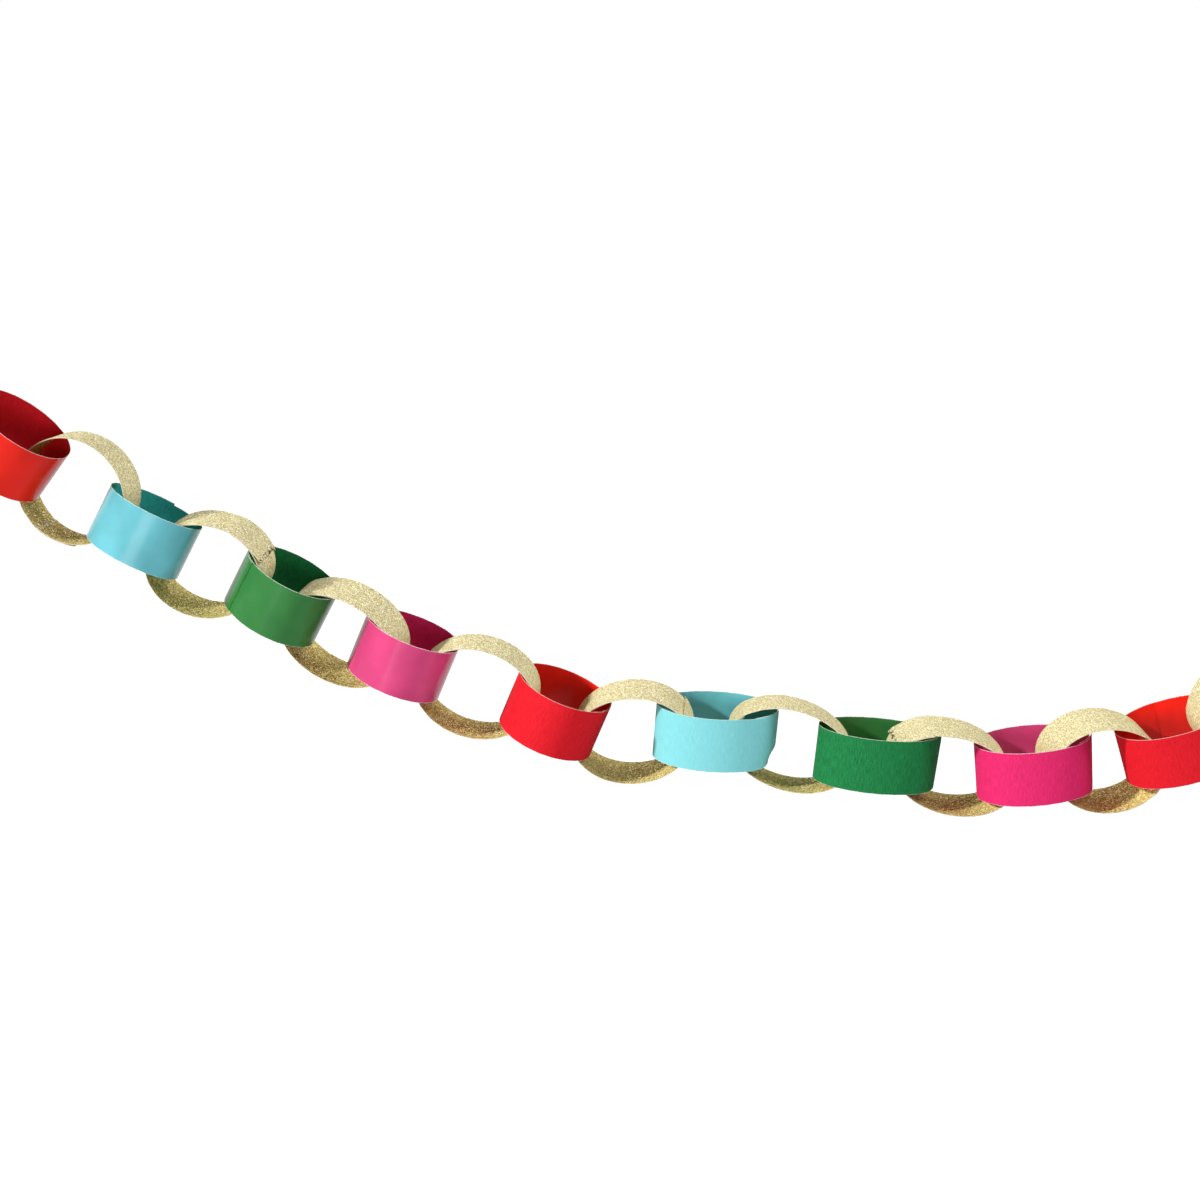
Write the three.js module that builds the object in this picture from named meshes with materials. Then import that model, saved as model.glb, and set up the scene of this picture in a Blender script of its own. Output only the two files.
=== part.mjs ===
import * as THREE from "three";

// A paper chain garland in millimetres, +Z up, seen along +Y.
// Each link is one strip of card bent to an oval loop and glued end over end.
// Coloured links stand with their rims up and down, gold ones face the viewer, and each hangs in the last.
// The origin is the inside of the first loop's left end, where the garland is hung.

const stripWidth = 30;
const stripLength = 200;
const gluedLap = 22;
const cardThickness = 0.3;
const glitterThickness = 0.4;
// The outer end of a strip climbs on to the inner end over this length.
const climbLength = 6;
// Clear distance left where one loop bears on the next.
const seatGap = 0.5;
const loopSteps = 44;

const loopLength = stripLength - gluedLap;
const roundRadius = loopLength / (2 * Math.PI);

// Half width of the oval whose way round is the loop length, found by halving the range.
function ovalHalfWidth(halfLength) {
  let low = 0;
  let high = 2 * roundRadius;
  for (let i = 0; i < 40; i += 1) {
    const middle = (low + high) / 2;
    const sum = halfLength + middle;
    const root = Math.sqrt((3 * halfLength + middle) * (halfLength + 3 * middle));
    if (Math.PI * (3 * sum - root) > loopLength) high = middle;
    else low = middle;
  }
  return low;
}

// A strip can tilt this far, in degrees, before its rims jam across the longest oval. The list below was
// taken at the listed limit: tighter loops tilt less and stay rounder, and wider ones do the opposite.
const longestStretch = 1.2;
const narrowestHalf = ovalHalfWidth(longestStretch * roundRadius);
const tiltLimit = THREE.MathUtils.radToDeg(Math.acos(stripWidth / 2 / narrowestHalf));
const listedLimit = 47.067;
const looseness = tiltLimit / listedLimit;

const red = { name: "red", colour: 0xe0182a, roughness: 0.55, thickness: cardThickness };
const turquoise = { name: "turquoise", colour: 0x7fd8dc, roughness: 0.55, thickness: cardThickness };
const green = { name: "green", colour: 0x2a8046, roughness: 0.55, thickness: cardThickness };
const pink = { name: "pink", colour: 0xe62d7c, roughness: 0.55, thickness: cardThickness };
const gold = { name: "gold", colour: 0xdcc48a, roughness: 0.45, thickness: glitterThickness };

// How each link hangs, from left to right. Stretch is the oval's half length against a round loop's radius.
// Slope, roll and turn are degrees: right end down, top rim towards the viewer, and turn as seen from above.
// Drop is how steeply the line from the link before falls. Lap is where the inner strip end lies round the
// loop, as a part of the way round from the right end. A link turned over has its strip wound the other way.
const links = [
  { paper: red, stretch: 0.99, slope: 37, roll: 5, turn: 0, drop: 37, lap: 0.44 },
  { paper: gold, stretch: 1.06, slope: 38, roll: -7, turn: -11, drop: 33, lap: 0.74 },
  { paper: turquoise, stretch: 0.92, slope: 28, roll: -5, turn: 6, drop: 35, lap: 0.2 },
  { paper: gold, stretch: 1.1, slope: 5, roll: 1, turn: -9, drop: 28, lap: 0.833, turnedOver: true },
  { paper: green, stretch: 0.92, slope: 27, roll: 4, turn: 8, drop: 25, lap: 0.46 },
  { paper: gold, stretch: 1.16, slope: 25, roll: 4, turn: -12, drop: 32, lap: 0.44 },
  { paper: pink, stretch: 0.92, slope: 22, roll: -6, turn: -10, drop: 22, lap: 0.12 },
  { paper: gold, stretch: 1.13, slope: 13, roll: -1, turn: -6, drop: 24, lap: 0.45 },
  { paper: red, stretch: 0.92, slope: 22, roll: -4, turn: -12, drop: 19, lap: 0.94 },
  { paper: gold, stretch: 1.13, slope: -5, roll: 3, turn: -4, drop: 15, lap: 0.95 },
  { paper: turquoise, stretch: 1.16, slope: 4, roll: 1, turn: 6, drop: 0, lap: 0.86 },
  { paper: gold, stretch: longestStretch, slope: 17, roll: -4, turn: -4, drop: 10, lap: 0.44 },
  { paper: green, stretch: 1.16, slope: 6, roll: -3, turn: 6, drop: 8, lap: 0.88 },
  { paper: gold, stretch: longestStretch, slope: 17, roll: 3, turn: 2, drop: 9, lap: 0.36 },
  { paper: pink, stretch: 1.1, slope: -5, roll: -3, turn: 6, drop: -1, lap: 0.88 },
  { paper: gold, stretch: 1.13, slope: 9, roll: 5, turn: 10, drop: -4, lap: 0.95 },
  { paper: red, stretch: 1.13, slope: -17, roll: 5, turn: -6, drop: -15, lap: 0.3 },
  { paper: gold, stretch: 1.1, slope: -32, roll: 2, turn: 0, drop: -28, lap: 0.45 },
];

// One closed loop: a single sheet most of the way round, and two sheets thick along the glued lap.
// The outer end leaves a step outside, and the inner end a step inside, as on a glued paper ring.
function loopGeometry(halfLength, halfWidth, thickness, lapStart) {
  const oval = new THREE.EllipseCurve(0, 0, halfLength, halfWidth, 0, 2 * Math.PI);
  const lap = gluedLap / loopLength;
  const climb = climbLength / loopLength;
  const run = (from, to, firstOffset, lastOffset) => {
    const steps = Math.max(2, Math.round((to - from) * loopSteps));
    return Array.from({ length: steps + 1 }, (_, i) => {
      const share = i / steps;
      const place = (from + share * (to - from)) % 1;
      const along = oval.getTangentAt(place);
      const offset = firstOffset + share * (lastOffset - firstOffset);
      return oval.getPointAt(place).add(new THREE.Vector2(along.y, -along.x).multiplyScalar(offset));
    });
  };
  const climbFrom = lapStart + 1 - climb;
  const outside = [
    ...run(lapStart + lap, climbFrom, thickness, thickness),
    ...run(climbFrom, lapStart + 1, thickness, 2 * thickness).slice(1),
    ...run(lapStart + 1, lapStart + 1 + lap, 2 * thickness, 2 * thickness).slice(1),
  ];
  const inside = [
    ...run(lapStart, climbFrom, 0, 0),
    ...run(climbFrom, lapStart + 1, 0, thickness).slice(1),
  ];
  const shape = new THREE.Shape(outside);
  shape.holes.push(new THREE.Path(inside));
  const geometry = new THREE.ExtrudeGeometry(shape, { depth: stripWidth, bevelEnabled: false });
  return geometry.translate(0, 0, -stripWidth / 2);
}

// Smallest distance from a guest's rims to the inside of a host loop. Each rim is followed from the tip of
// the guest's given end, both ways, until it leaves the host's band.
function rimClearance(guest, host, guestEnd) {
  const toHost = host.rotation.clone().invert();
  let least = Infinity;
  const rimRuns = [[-1, -1], [-1, 1], [1, -1], [1, 1]];
  for (const [rim, way] of rimRuns) {
    for (let degrees = 0; degrees < 120; degrees += 0.5) {
      const angle = way * THREE.MathUtils.degToRad(degrees);
      const x = guestEnd * guest.halfLength * Math.cos(angle);
      const point = new THREE.Vector3(x, guest.halfWidth * Math.sin(angle), rim * stripWidth / 2);
      point.applyQuaternion(guest.rotation).add(guest.centre).sub(host.centre).applyQuaternion(toHost);
      if (Math.abs(point.z) > stripWidth / 2) break;
      const u = point.x / host.halfLength;
      const v = point.y / host.halfWidth;
      const reach = Math.hypot(u, v);
      const steepness = Math.hypot(u / host.halfLength, v / host.halfWidth) / reach;
      least = Math.min(least, (1 - reach) / steepness);
    }
  }
  return least;
}

// Slides a link away from the one before, along the swag, until the two loops bear on each other.
function seat(link, before, direction) {
  const clearAt = (distance) => {
    link.centre = before.centre.clone().addScaledVector(direction, distance);
    return Math.min(rimClearance(before, link, 1), rimClearance(link, before, -1)) > seatGap;
  };
  const stride = roundRadius / 20;
  let free = 0.4 * (link.halfLength + before.halfLength);
  while (clearAt(free + stride)) free += stride;
  let held = free + stride;
  for (let i = 0; i < 20; i += 1) {
    const middle = (free + held) / 2;
    if (clearAt(middle)) free = middle;
    else held = middle;
  }
  clearAt(free);
}

const garland = new THREE.Group();
garland.name = "paper_chain_garland";
let before = null;
links.forEach((link, index) => {
  const quarterTurn = link.paper === gold ? 90 : 0;
  const nearby = links.slice(Math.max(0, index - 1), index + 2);
  const swagFall = nearby.reduce((sum, near) => sum + near.drop, 0) / nearby.length;
  const slope = swagFall + looseness * (link.slope - swagFall);
  const roll = quarterTurn + looseness * link.roll;
  const turn = looseness * link.turn;
  const angles = [roll, slope, turn].map(THREE.MathUtils.degToRad);
  link.rotation = new THREE.Quaternion().setFromEuler(new THREE.Euler(...angles, "ZYX"));
  link.halfLength = (1 + looseness * (link.stretch - 1)) * roundRadius;
  link.halfWidth = ovalHalfWidth(link.halfLength);
  if (before) {
    const fall = THREE.MathUtils.degToRad(swagFall + looseness * (link.drop - swagFall));
    seat(link, before, new THREE.Vector3(Math.cos(fall), 0, -Math.sin(fall)));
  } else {
    link.centre = new THREE.Vector3(link.halfLength, 0, 0).applyQuaternion(link.rotation);
  }
  before = link;
  const { colour, roughness, thickness } = link.paper;
  const material = new THREE.MeshStandardMaterial({ color: colour, roughness, metalness: 0 });
  const geometry = loopGeometry(link.halfLength, link.halfWidth, thickness, link.lap);
  if (link.turnedOver) geometry.rotateX(Math.PI);
  const mesh = new THREE.Mesh(geometry, material);
  mesh.name = `link_${String(index + 1).padStart(2, "0")}_${link.paper.name}`;
  mesh.position.copy(link.centre);
  mesh.quaternion.copy(link.rotation);
  garland.add(mesh);
});

export default garland;
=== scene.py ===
from math import pi, radians

import bpy
import numpy as np
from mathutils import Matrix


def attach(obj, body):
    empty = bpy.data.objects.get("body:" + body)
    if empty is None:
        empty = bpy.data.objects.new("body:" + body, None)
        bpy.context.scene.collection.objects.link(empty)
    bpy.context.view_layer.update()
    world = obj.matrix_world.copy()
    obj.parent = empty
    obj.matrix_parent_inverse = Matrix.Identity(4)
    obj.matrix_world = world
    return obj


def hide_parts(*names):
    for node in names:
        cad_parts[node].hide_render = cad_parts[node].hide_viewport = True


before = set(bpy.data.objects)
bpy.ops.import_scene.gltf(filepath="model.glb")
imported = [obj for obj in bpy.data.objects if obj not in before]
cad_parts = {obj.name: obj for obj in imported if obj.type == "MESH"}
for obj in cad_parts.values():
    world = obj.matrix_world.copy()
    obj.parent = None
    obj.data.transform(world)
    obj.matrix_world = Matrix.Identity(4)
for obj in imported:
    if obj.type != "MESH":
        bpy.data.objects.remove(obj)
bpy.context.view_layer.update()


# The view. The garland hangs across the picture and is seen from in front, a little from above.
# The frame is square, and its middle lies just over the middle of the swag.
view_middle = np.array([0.33363, 0.0, -0.10170])
view_fall = radians(16)
view_distance = 1.2857
lens = bpy.data.cameras.new("camera")
lens.lens = 72
lens.sensor_width = 36
camera = bpy.data.objects.new("camera", lens)
camera.location = view_middle + view_distance * np.array([0, -np.cos(view_fall), np.sin(view_fall)])
camera.rotation_euler = (pi / 2 - view_fall, 0, 0)
bpy.context.scene.collection.objects.link(camera)
bpy.context.scene.camera = camera


# The red links. Each is a strip of thin card, printed with a gloss on one face and left matt on the other,
# bent round to an oval loop and glued end over end. The first has its gloss outside, the others inside.
glued_lap = 0.022
climb_length = 0.006
glue_film = 0.00002
edge_round = 0.00008
edge_levels = (0.72, 0.28)
stations = 260
widths = 26
chord_count = 1440
fit_slacks = (0.0, 0.004, 0.001)


def way_round(half_length, half_width):
    """Angles round an ellipse, and the share of the whole way round at each, by adding up short chords."""
    angles = np.linspace(0, 2 * pi, chord_count + 1)
    chords = np.hypot(half_length * np.diff(np.cos(angles)), half_width * np.diff(np.sin(angles)))
    ways = np.concatenate([[0], np.cumsum(chords)])
    return angles, ways / ways[-1], ways[-1]


def mean_share(shares):
    """The middle of some places round a loop, as the direction of the sum of their unit vectors."""
    return np.angle(np.exp(2j * pi * shares).sum()) / (2 * pi) % 1


def measure_loop(node):
    """How a packed loop lies. Its band axis is the direction that its faces look along least, and its inside
    is the ellipse p'Qp + q'p = 1 fitted to its points, first all of them, then those on or near the inside.
    The places where it is two sheets thick give the lap, and the climb beside them which way it is wound."""
    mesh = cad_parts[node].data
    points = np.empty(3 * len(mesh.vertices))
    normals = np.empty(3 * len(mesh.polygons))
    areas = np.empty(len(mesh.polygons))
    mesh.vertices.foreach_get("co", points)
    mesh.polygons.foreach_get("normal", normals)
    mesh.polygons.foreach_get("area", areas)
    points = points.reshape(-1, 3)
    normals = normals.reshape(-1, 3)
    axis = np.linalg.eigh((normals * areas[:, None]).T @ normals)[1][:, 0]
    axis *= np.sign(axis @ (0, -1, 1))
    side = np.cross(axis, (1.0, 0.0, 0.0))
    side /= np.linalg.norm(side)
    plane = np.stack([np.cross(side, axis), side])
    middle = points.mean(0)
    flat = (points - middle) @ plane.T
    size = np.hypot(*flat.T).mean()
    x, y = flat.T / size
    terms = np.stack([x * x, x * y, y * y, x, y], 1)
    inside = np.ones(len(x), bool)
    for slack in fit_slacks:
        conic = np.linalg.lstsq(terms[inside], np.ones(inside.sum()), rcond=None)[0]
        inside = terms @ conic < 1 + slack
    form = np.array([[conic[0], conic[1] / 2], [conic[1] / 2, conic[2]]])
    shift = -np.linalg.solve(form, conic[3:]) / 2
    values, vectors = np.linalg.eigh(form / (1 + shift @ form @ shift))
    directions = vectors.T @ plane
    first = np.argmax(np.abs(directions[:, 0]))
    along = directions[first] * np.sign(directions[first, 0])
    across = np.cross(axis, along)
    centre = middle + size * shift @ plane
    half_length, half_width = size / np.sqrt(values[[first, 1 - first]])
    x = (points - centre) @ along / half_length
    y = (points - centre) @ across / half_width
    reach = np.hypot(x, y)
    outside = (reach - 1) * reach / np.hypot(x / half_length, y / half_width)
    sheet = outside.max() / 2
    angles, shares, round_way = way_round(half_length, half_width)
    place = np.interp(np.arctan2(y, x) % (2 * pi), angles, shares)
    two_sheets = outside > 1.9 * sheet
    half_climbed = np.abs(outside / sheet - 1.5) < 0.2
    lap = mean_share(place[two_sheets])
    climb = mean_share(place[half_climbed])
    winding = 1 if (lap - climb) % 1 < 0.5 else -1
    return {
        "centre": centre,
        "along": along,
        "across": across,
        "axis": axis,
        "halves": (half_length, half_width),
        "round": round_way,
        "band": np.ptp(points @ axis),
        "sheet": sheet,
        "winding": winding,
        "inner_end": lap - winding * glued_lap / 2 / round_way,
    }


def ease(low, high, x):
    """Goes from 0 at low to 1 at high along 3t^2 - 2t^3."""
    t = np.clip((x - low) / (high - low), 0, 1)
    return t * t * (3 - 2 * t)


def at_inner_end(reach, s):
    """1 at the strip's inner end, where its way s starts, easing to 0 at a reach from it."""
    return 1 - ease(0, reach, s)


def at_outer_end(reach, s, strip_length):
    """0 until a reach before the strip's outer end, easing to 1 at that end."""
    return ease(0, reach, s - strip_length + reach)


def waves(draw, counts, x, fading=False):
    """Sines of x added up, one for each count, each with a start drawn by chance. Where they fade, each is
    divided by its count."""
    return sum(np.sin(k * x + draw.uniform(0, 2 * pi)) / (k if fading else 1) for k in counts)


crooked_cut = 0.0004
crooked_reach = 0.01
tooth_counts = (17, 31, 53, 71)
torn_reach = 0.002
even_peel = 0.65
peel_reach = 0.007
ripple_height = 0.00010
ripple_counts = (3, 4, 5, 7)
bow_height = 0.00008
tuck_reach = 0.011
tuck_from = 0.3
tuck_draw = 0.9
skew_reach = 0.04
wander_width = 0.00006
wander_counts = (2, 3, 5)
rough_counts = (5200, 8900, 13700)
rim_from = 0.97
crease_angle = radians(35)
millimetres = 1000
outer_face, inner_face, cut_edge = 0, 1, 2


def bend_strip(node, seed, lift=0.0004, skew=0.0004, ragged=0.00004, torn=0.00024, tuck=0.0):
    """One strip bent along the ellipse of its packed loop. A flat ring profile, the outer face, a cut edge,
    the inner face and the other edge, is carried from the inner end once round and over itself. The sheet
    rises by its own thickness over the climb, lifts at its outer end, and ripples a little along its way.
    Its ends are skewed and torn to small teeth, its rims are ragged, and a tuck is a bell-shaped dent that
    pulls the lower rim in and up at the loop's right end."""
    loop = measure_loop(node)
    draw = np.random.default_rng(seed)
    half_band = loop["band"] / 2
    sheet = loop["sheet"]
    strip_length = loop["round"] + glued_lap
    run = np.linspace(0, strip_length, stations)
    face = np.linspace(-half_band + edge_round, half_band - edge_round, widths)
    width = np.concatenate([face, [half_band, half_band], face[::-1], [-half_band, -half_band]])
    level = np.concatenate([np.ones(widths), edge_levels, np.zeros(widths), edge_levels[::-1]])
    s = run[:, None]
    w = width[None, :]
    across = w / half_band
    cut_in, cut_out = draw.uniform(-crooked_cut, crooked_cut, 2)
    crooked_in = cut_in * across * at_inner_end(crooked_reach, s)
    crooked_out = cut_out * across * at_outer_end(crooked_reach, s, strip_length)
    teeth = waves(draw, tooth_counts, across) / 2
    torn_ends = at_outer_end(torn_reach, s, strip_length) - at_inner_end(torn_reach, s)
    s_cut = s + crooked_in + crooked_out + torn * teeth * torn_ends
    share = loop["inner_end"] + loop["winding"] * s_cut / loop["round"]
    half_length, half_width = loop["halves"]
    angles, shares, _ = way_round(half_length, half_width)
    angle = np.interp(share % 1, shares, angles)
    x = half_length * np.cos(angle)
    y = half_width * np.sin(angle)
    out_x = np.cos(angle) / half_length
    out_y = np.sin(angle) / half_width
    steep = np.hypot(out_x, out_y)
    climb_from = loop["round"] - climb_length
    rise = (sheet + glue_film) * ease(climb_from, loop["round"], s)
    corner = even_peel + (1 - even_peel) * draw.choice([-1, 1]) * across
    peel = lift * corner * at_outer_end(peel_reach, s, strip_length)
    ripple = ripple_height * waves(draw, ripple_counts, 2 * pi * share, fading=True)
    bow = bow_height * (across**2 - 1 / 3) * waves(draw, (1,), 2 * pi * share)
    from_tip = ((share + 0.5) % 1 - 0.5) * loop["round"]
    tucked = tuck * np.exp(-((from_tip / tuck_reach) ** 2)) * ease(tuck_from, 1.0, -across)
    out = rise + level * sheet + peel + ripple + bow - tucked
    sideways = skew / 2 * (at_inner_end(skew_reach, s) - at_outer_end(skew_reach, s, strip_length))
    wander = wander_width * waves(draw, wander_counts, 2 * pi * run / strip_length, fading=True)
    rough = ragged * waves(draw, rough_counts, run)
    rims = np.sign(w) * (np.abs(across) > rim_from)
    w_cut = w + tuck_draw * tucked + sideways + wander[:, None] + rough[:, None] * rims
    flat_x = x + out_x / steep * out
    flat_y = y + out_y / steep * out
    points = (
        loop["centre"]
        + flat_x[..., None] * loop["along"]
        + flat_y[..., None] * loop["across"]
        + w_cut[..., None] * loop["axis"]
    )
    ring = len(width)
    i, j = np.meshgrid(np.arange(stations - 1), np.arange(ring), indexing="ij")
    k = (j + 1) % ring
    walls = np.stack([i * ring + j, (i + 1) * ring + j, (i + 1) * ring + k, i * ring + k], -1).reshape(-1, 4)
    upper = np.concatenate([[ring - 1], np.arange(widths), [widths]])
    lower = np.concatenate([[ring - 2], np.arange(ring - 3, widths + 1, -1), [widths + 1]])
    cap = np.stack([upper[:-1], upper[1:], lower[1:], lower[:-1]], -1)
    faces = np.concatenate([walls, cap, cap[:, ::-1] + (stations - 1) * ring])
    if loop["winding"] > 0:
        faces = faces[:, ::-1]
    kind = np.full(ring, cut_edge)
    kind[: widths - 1] = outer_face
    kind[widths + 2 : 2 * widths + 1] = inner_face
    kinds = np.concatenate([np.tile(kind, stations - 1), np.full(2 * len(cap), outer_face)])
    mesh = bpy.data.meshes.new(node)
    mesh.from_pydata(points.reshape(-1, 3), [], faces)
    mesh.polygons.foreach_set("material_index", kinds.astype(np.int32))
    spread = np.stack([np.broadcast_to(s, w_cut.shape), np.broadcast_to(w, w_cut.shape)], -1).reshape(-1, 2)
    corners = np.empty(len(mesh.loops), np.int32)
    mesh.loops.foreach_get("vertex_index", corners)
    mesh.uv_layers.new(name="strip").uv.foreach_set("vector", (millimetres * spread[corners]).ravel())
    mesh.shade_smooth()
    mesh.set_sharp_from_angle(angle=crease_angle)
    link = bpy.data.objects.new(node + "_strip", mesh)
    bpy.context.scene.collection.objects.link(link)
    return link


def add_node(tree, kind, inputs, **options):
    """Adds one shader node with its options, and fills its sockets with numbers or with links."""
    made = tree.nodes.new("ShaderNode" + kind)
    for name, value in options.items():
        setattr(made, name, value)
    for socket, value in inputs.items():
        if isinstance(value, bpy.types.NodeSocket):
            tree.links.new(value, made.inputs[socket])
        else:
            made.inputs[socket].default_value = value
    return made.outputs


def linear(red, green, blue):
    """A colour as the eye reads it, 0 to 255, made into the shader's own light values."""
    srgb = np.array([red, green, blue]) / 255
    light = np.where(srgb <= 0.04045, srgb / 12.92, ((srgb + 0.055) / 1.055) ** 2.4)
    return (*light, 1.0)


def at_level(colour, level):
    """A colour with its light multiplied by a level, one for all or one each for red, green and blue, and
    held at full."""
    return (*np.minimum(1.0, np.array(colour[:3]) * level), 1.0)


def start_material(name):
    """A new material with its shader, and the strip's own map: millimetres along, and millimetres across
    from the middle."""
    material = bpy.data.materials.new(name)
    material.use_nodes = True
    tree = material.node_tree
    shader = tree.nodes["Principled BSDF"]
    strip = add_node(tree, "UVMap", {}, uv_map="strip")["UV"]
    return material, tree, shader, strip


def stretched_noise(tree, strip, along, across, detail=2.0, rough=0.55):
    """Noise with so many grains for each millimetre along the strip and across it."""
    scaled = add_node(tree, "Mapping", {"Vector": strip, "Scale": (along, across, 1)})["Vector"]
    inputs = {"Vector": scaled, "Scale": 1.0, "Detail": detail, "Roughness": rough}
    return add_node(tree, "TexNoise", inputs, noise_dimensions="2D")["Fac"]


def to_range(tree, value, low, high, to_low, to_high):
    """A value taken from one range to another in a straight line, and held at its ends."""
    inputs = {"Value": value, "From Min": low, "From Max": high, "To Min": to_low, "To Max": to_high}
    return add_node(tree, "MapRange", inputs)["Result"]


def blend_colour(tree, share, first, second):
    """Two colours mixed by a share."""
    return add_node(tree, "Mix", {0: share, 6: first, 7: second}, data_type="RGBA")[2]


def emboss(tree, shader, height, strength, distance):
    """Raises the surface by a height between 0 and 1 times a distance in metres, as bump."""
    bump = add_node(tree, "Bump", {"Strength": strength, "Distance": distance, "Height": height})["Normal"]
    tree.links.new(bump, shader.inputs["Normal"])


half_strip = 15.0


def worn_edge(tree, strip, width):
    """1 along the cut sides of a strip, where the blade crushed the face and the core shows, and else 0:
    the distance from the middle line taken to a range, times patches of noise."""
    across = add_node(tree, "SeparateXYZ", {"Vector": strip})["Y"]
    distance = add_node(tree, "Math", {0: across}, operation="ABSOLUTE")["Value"]
    edge = to_range(tree, distance, half_strip - width, half_strip - 0.3 * width, 0.0, 1.0)
    patches = to_range(tree, stretched_noise(tree, strip, along=0.7, across=0.7), 0.35, 0.6, 0.35, 1.0)
    return add_node(tree, "Math", {0: edge, 1: patches}, operation="MULTIPLY")["Value"]


weft_share = 0.45
hollow_painted_shade = 0.21
thread_painted_light = 0.17


def matt_card(name, colour, core, grain_depth=1.0):
    """The matt face: a fine linen grain across the strip, faint along it, with soft blotches of colour. Its
    hollows get painted shade and its raised threads painted light. A deeper grain has more of both, and
    more bump."""
    material, tree, shader, strip = start_material(name)
    threads = stretched_noise(tree, strip, along=1.9, across=0.22)
    weft = stretched_noise(tree, strip, along=0.6, across=1.8)
    grain = add_node(tree, "Math", {0: weft, 1: weft_share, 2: threads}, operation="MULTIPLY_ADD")["Value"]
    blotch = stretched_noise(tree, strip, along=0.08, across=0.08, detail=3.0)
    # Painted shade in the grain's hollows and painted light on its raised threads, from the same grain as
    # the bump.
    dark = at_level(colour, 1 - hollow_painted_shade * grain_depth)
    light = at_level(colour, 1 + thread_painted_light * grain_depth)
    toned = blend_colour(tree, to_range(tree, grain, 0.48, 0.97, 0.0, 1.0), dark, light)
    aged = blend_colour(tree, to_range(tree, blotch, 0.35, 0.7, 0.0, 0.35), toned, colour)
    worn = blend_colour(tree, worn_edge(tree, strip, width=0.26), aged, core)
    tree.links.new(worn, shader.inputs["Base Color"])
    shader.inputs["Specular IOR Level"].default_value = 0.12
    tree.links.new(to_range(tree, grain, 0.5, 1.0, 0.85, 0.7), shader.inputs["Roughness"])
    emboss(tree, shader, grain, strength=0.4 * grain_depth, distance=0.00006)
    return material


def gloss_card(name, colour, core):
    """The printed gloss face: smooth, with the board's slow unevenness showing in its shine."""
    material, tree, shader, strip = start_material(name)
    slow = stretched_noise(tree, strip, along=0.05, across=0.05)
    fine = stretched_noise(tree, strip, along=0.9, across=0.9, detail=3.0)
    dark = at_level(colour, 0.9)
    light = at_level(colour, 1.06)
    toned = blend_colour(tree, to_range(tree, slow, 0.3, 0.7, 0.0, 1.0), dark, light)
    worn = blend_colour(tree, worn_edge(tree, strip, width=0.34), toned, core)
    tree.links.new(worn, shader.inputs["Base Color"])
    shader.inputs["Specular IOR Level"].default_value = 0.15
    tree.links.new(to_range(tree, fine, 0.3, 0.7, 0.18, 0.25), shader.inputs["Roughness"])
    emboss(tree, shader, fine, strength=0.25, distance=0.00004)
    return material


def card_core(name, colour):
    """The cut edge: pale fibre through the thickness, a little stained by the colour of the faces."""
    material, tree, shader, strip = start_material(name)
    fibre = stretched_noise(tree, strip, along=2.5, across=2.5, detail=3.0)
    shade = at_level(colour, 0.7)
    toned = blend_colour(tree, to_range(tree, fibre, 0.3, 0.7, 0.0, 1.0), shade, colour)
    tree.links.new(toned, shader.inputs["Base Color"])
    shader.inputs["Roughness"].default_value = 0.9
    shader.inputs["Specular IOR Level"].default_value = 0.1
    emboss(tree, shader, fibre, strength=0.4, distance=0.00005)
    return material


def hang(link, node, outer, inner, edge):
    """Gives a finished strip its three finishes, and puts it in the place of its packed loop."""
    for finish in (outer, inner, edge):
        link.data.materials.append(finish)
    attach(link, "root")
    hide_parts(node)


red_core = linear(242, 200, 192)
red_matt = matt_card("red_matt", linear(230, 30, 43), red_core, grain_depth=0.8)
red_gloss = gloss_card("red_gloss", linear(250, 40, 28), red_core)
red_edge = card_core("red_edge", red_core)
link = bend_strip("link_01_red", seed=1)
hang(link, "link_01_red", red_gloss, red_matt, red_edge)
link = bend_strip("link_09_red", seed=9)
hang(link, "link_09_red", red_matt, red_gloss, red_edge)
link = bend_strip("link_17_red", seed=17)
hang(link, "link_17_red", red_matt, red_gloss, red_edge)


# The gold links. Each is a strip of card with gold glitter set in varnish on both faces, bent and glued
# like the others but turned to face the viewer, so that it joins two coloured links. On two of them the
# outer end has come a little loose, and its torn edge is stained by dried glue.
flakes_per_mm = 1.9
bright_from, bright_to = 0.78, 0.95
tilt_low, tilt_high = 0.28, 0.72
glue_from, glue_full = 197.4, 198.8
cut_line, cut_line_end = 0.9, 1.2
glue_brown = linear(58, 40, 22)
lit_cut_cream = linear(250, 240, 212)


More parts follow.
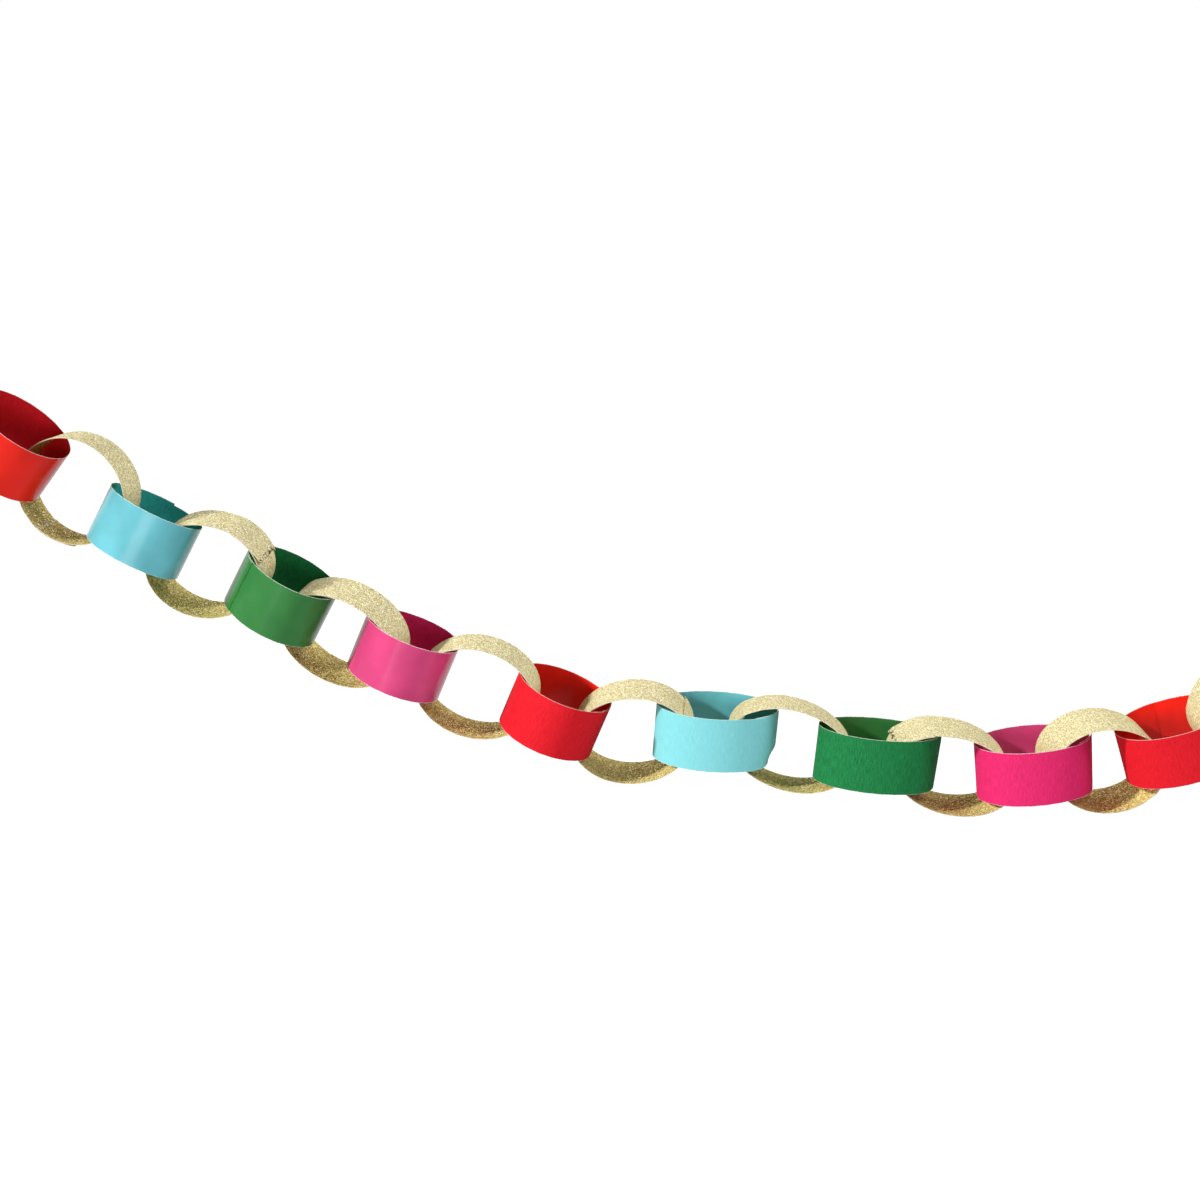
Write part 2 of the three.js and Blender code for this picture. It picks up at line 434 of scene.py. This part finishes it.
def glitter_card(name, colour, glint_colour, depth, glue_stain=0.0):
    """Glitter: each flake is a cell of the strip's map, with its own tilt, its own tone and a metal shine.
    The strip's inner end shows a pale cut line, partly the card's pale core and partly painted light on
    the lit cut edge, and dried glue stains its outer end with dark specks."""
    material, tree, shader, strip = start_material(name)
    flake_scale = (flakes_per_mm, flakes_per_mm, 1)
    scaled = add_node(tree, "Mapping", {"Vector": strip, "Scale": flake_scale})["Vector"]
    flakes = add_node(tree, "TexVoronoi", {"Vector": scaled, "Scale": 1.0}, voronoi_dimensions="2D")
    chance = add_node(tree, "SeparateColor", {"Color": flakes["Color"]})
    clumps = stretched_noise(tree, strip, along=1.3, across=1.3)
    tone = add_node(tree, "Math", {0: chance["Blue"], 1: clumps}, operation="ADD")["Value"]
    deep = at_level(colour, depth)
    base = blend_colour(tree, to_range(tree, tone, 0.6, 1.2, 0.0, 1.0), deep, colour)
    glint = to_range(tree, chance["Blue"], bright_from, bright_to, 0.0, 0.8)
    toned = blend_colour(tree, glint, base, glint_colour)
    along = add_node(tree, "SeparateXYZ", {"Vector": strip})["X"]
    end = to_range(tree, along, glue_from, glue_full, 0.0, 1.0)
    speckle = stretched_noise(tree, strip, along=0.7, across=0.35, detail=3.0)
    specks = to_range(tree, speckle, 0.49, 0.56, 0.0, glue_stain)
    glue = add_node(tree, "Math", {0: end, 1: specks}, operation="MULTIPLY")["Value"]
    glued = blend_colour(tree, glue, toned, glue_brown)
    # The pale cut line: the card's core, and painted light on the lit cut edge.
    cut = to_range(tree, along, cut_line, cut_line_end, 1.0, 0.0)
    tree.links.new(blend_colour(tree, cut, glued, lit_cut_cream), shader.inputs["Base Color"])
    metal = to_range(tree, chance["Blue"], bright_from, bright_to, 0.0, 0.4)
    tree.links.new(metal, shader.inputs["Metallic"])
    shader.inputs["Roughness"].default_value = 0.42
    shader.inputs["Specular IOR Level"].default_value = 0.0
    tilt_x = to_range(tree, chance["Red"], 0.0, 1.0, tilt_low, tilt_high)
    tilt_y = to_range(tree, chance["Green"], 0.0, 1.0, tilt_low, tilt_high)
    tilt = add_node(tree, "CombineXYZ", {"X": tilt_x, "Y": tilt_y, "Z": 1.0})["Vector"]
    normal = add_node(tree, "NormalMap", {"Strength": 1.0, "Color": tilt}, uv_map="strip")["Normal"]
    tree.links.new(normal, shader.inputs["Normal"])
    return material


# The outer face is paler, partly the glitter's own gold and partly painted sheen for its lit top. The inner
# face is deeper, partly its own gold and partly painted shade for the inside of the ring.
champagne = linear(254, 243, 192)
champagne_glint = linear(255, 250, 222)
champagne_depth = (0.6, 0.55, 0.4)
gold_outer = glitter_card("gold_outer", champagne, champagne_glint, champagne_depth)
gold_torn = glitter_card("gold_torn", champagne, champagne_glint, champagne_depth, glue_stain=0.92)
gold_inner_shaded = glitter_card("gold_inner_shaded", linear(252, 232, 150), linear(255, 244, 184), (0.56, 0.5, 0.34))
gold_edge = card_core("gold_edge", linear(240, 228, 196))
gold_ragged = 0.00005
loose_ends = {4: 0.0014, 14: 0.0010}
for number in range(2, 19, 2):
    node = f"link_{number:02d}_gold"
    if number in loose_ends:
        link = bend_strip(node, seed=number, lift=loose_ends[number], ragged=gold_ragged, torn=0.0007)
        outer = gold_torn
    else:
        link = bend_strip(node, seed=number, ragged=gold_ragged, torn=0.0003)
        outer = gold_outer
    hang(link, node, outer, gold_inner_shaded, gold_edge)


# The turquoise links. Card like the red, with a smooth gloss face and a matt one, bent and glued the same.
# The first has its gloss outside, and inside a darker, deeper matt face that is painted shade for its
# shadowed inside. The second has its matt face outside, and its lower corner at the right is tucked in.
turquoise_core = linear(226, 244, 244)
turquoise_matt = matt_card("turquoise_matt", linear(138, 222, 227), turquoise_core, grain_depth=0.4)
turquoise_gloss = gloss_card("turquoise_gloss", linear(112, 198, 210), turquoise_core)
turquoise_edge = card_core("turquoise_edge", turquoise_core)
# Painted shade: the first link's inner face is darker and deeper so that its inside looks shadowed.
turquoise_shaded_inside = matt_card("turquoise_shaded_inside", linear(64, 200, 200), turquoise_core)
link = bend_strip("link_03_turquoise", seed=3, skew=0.0014)
hang(link, "link_03_turquoise", turquoise_gloss, turquoise_shaded_inside, turquoise_edge)
link = bend_strip("link_11_turquoise", seed=11, tuck=0.0042)
hang(link, "link_11_turquoise", turquoise_matt, turquoise_gloss, turquoise_edge)


# The green links. Card like the red, bent and glued the same. The first has its gloss outside and lies
# flat at its end. The second has its matt face outside, and its outer end stands off and is rough.
green_core = linear(214, 230, 214)
green_matt = matt_card("green_matt", linear(32, 126, 69), green_core, grain_depth=1.6)
green_gloss = gloss_card("green_gloss", linear(58, 131, 66), green_core)
green_edge = card_core("green_edge", green_core)
rough_lift = 0.0018
rough_torn = 0.0006
link = bend_strip("link_05_green", seed=5, lift=0.0001)
hang(link, "link_05_green", green_gloss, green_matt, green_edge)
link = bend_strip("link_13_green", seed=13, lift=rough_lift, torn=rough_torn)
hang(link, "link_13_green", green_matt, green_gloss, green_edge)


# The pink links. Card like the red, bent and glued the same, with the ends a little out of line. The first
# has its gloss outside. The second has its matt face outside, and its outer end stands off and is rough.
pink_core = linear(246, 222, 230)
pink_matt = matt_card("pink_matt", linear(232, 44, 110), pink_core, grain_depth=0.8)
pink_gloss = gloss_card("pink_gloss", linear(224, 74, 130), pink_core)
pink_edge = card_core("pink_edge", pink_core)
pink_skew = 0.0010
link = bend_strip("link_07_pink", seed=7, skew=pink_skew)
hang(link, "link_07_pink", pink_gloss, pink_matt, pink_edge)
link = bend_strip("link_15_pink", seed=15, lift=rough_lift, skew=pink_skew, torn=rough_torn)
hang(link, "link_15_pink", pink_matt, pink_gloss, pink_edge)


# The stage. A wide pale floor well below the garland, a key lamp from the left, a soft fill from high on
# the right, three soft panels and a faint even sky. To the camera and in shines the sky is white, and the
# floor is lifted to meet it.
floor_height = -0.6
floor_reach = 8.0
floor_grey = (0.18, 0.18, 0.18, 1)
floor_glow = 0.9
sky_light = 0.04
sky_seen = 1.0
white = (1, 1, 1, 1)
floor_mesh = bpy.data.meshes.new("floor")
floor_corners = np.array([(-1, -1), (1, -1), (1, 1), (-1, 1)]) * floor_reach
floor_mesh.from_pydata([(x, y, floor_height) for x, y in floor_corners], [], [(0, 1, 2, 3)])
floor = bpy.data.objects.new("floor", floor_mesh)
bpy.context.scene.collection.objects.link(floor)


def seen_directly(tree):
    """1 for a ray from the camera, from a shine or through glass, as the largest of the three, and 0 for one
    that carries light."""
    path = add_node(tree, "LightPath", {})
    either = {0: path["Is Camera Ray"], 1: path["Is Glossy Ray"]}
    seen = add_node(tree, "Math", either, operation="MAXIMUM")["Value"]
    return add_node(tree, "Math", {0: seen, 1: path["Is Transmission Ray"]}, operation="MAXIMUM")["Value"]


floor_paint = bpy.data.materials.new("floor_paint")
floor_paint.use_nodes = True
floor_tree = floor_paint.node_tree
floor_tree.nodes.remove(floor_tree.nodes["Principled BSDF"])
matt = add_node(floor_tree, "BsdfDiffuse", {"Color": floor_grey})["BSDF"]
lift_level = to_range(floor_tree, seen_directly(floor_tree), 0.0, 1.0, 0.0, floor_glow)
glow = add_node(floor_tree, "Emission", {"Color": white, "Strength": lift_level})["Emission"]
both = add_node(floor_tree, "AddShader", {0: matt, 1: glow})["Shader"]
floor_tree.links.new(both, floor_tree.nodes["Material Output"].inputs["Surface"])
floor_mesh.materials.append(floor_paint)

sky = bpy.data.worlds.new("sky")
sky.use_nodes = True
bpy.context.scene.world = sky
sky_level = to_range(sky.node_tree, seen_directly(sky.node_tree), 0.0, 1.0, sky_light, sky_seen)
sky.node_tree.nodes["Background"].inputs["Color"].default_value = white
sky.node_tree.links.new(sky_level, sky.node_tree.nodes["Background"].inputs["Strength"])


def far_lamp(name, energy, disc, turn, height):
    """A lamp so far off that its rays are parallel, in degrees: how wide its disc looks, how far it turns
    about Z from straight in front, and how high it stands above level."""
    light = bpy.data.lights.new(name, "SUN")
    light.energy = energy
    light.angle = radians(disc)
    lamp = bpy.data.objects.new(name, light)
    lamp.rotation_euler = (pi / 2 - radians(height), 0, radians(turn))
    bpy.context.scene.collection.objects.link(lamp)


swag_middle = np.array([0.36, 0.0, -0.12])


def soft_panel(name, place, width, height, power):
    """A broad lamp that faces the middle of the swag: turned about Z to it, and tipped up or down to it."""
    panel = bpy.data.lights.new(name, "AREA")
    panel.shape = "RECTANGLE"
    panel.size = width
    panel.size_y = height
    panel.energy = power
    lamp = bpy.data.objects.new(name, panel)
    lamp.location = place
    aim = swag_middle - place
    lamp.rotation_euler = (pi / 2 + np.arctan2(aim[2], np.hypot(*aim[:2])), 0, np.arctan2(-aim[0], aim[1]))
    bpy.context.scene.collection.objects.link(lamp)


far_lamp("key", energy=2.55, disc=4.5, turn=-63, height=29.5)
far_lamp("fill", energy=2.0, disc=45, turn=93, height=50)
soft_panel("front_panel", (0.0, -2.0, -0.05), width=1.4, height=0.5, power=22)
soft_panel("side_panel", (2.4, -0.5, -0.4), width=0.2, height=1.2, power=3.5)
soft_panel("back_panel", (0.0, 2.0, 0.1), width=1.2, height=0.6, power=8)

bpy.context.scene.view_settings.view_transform = "Standard"
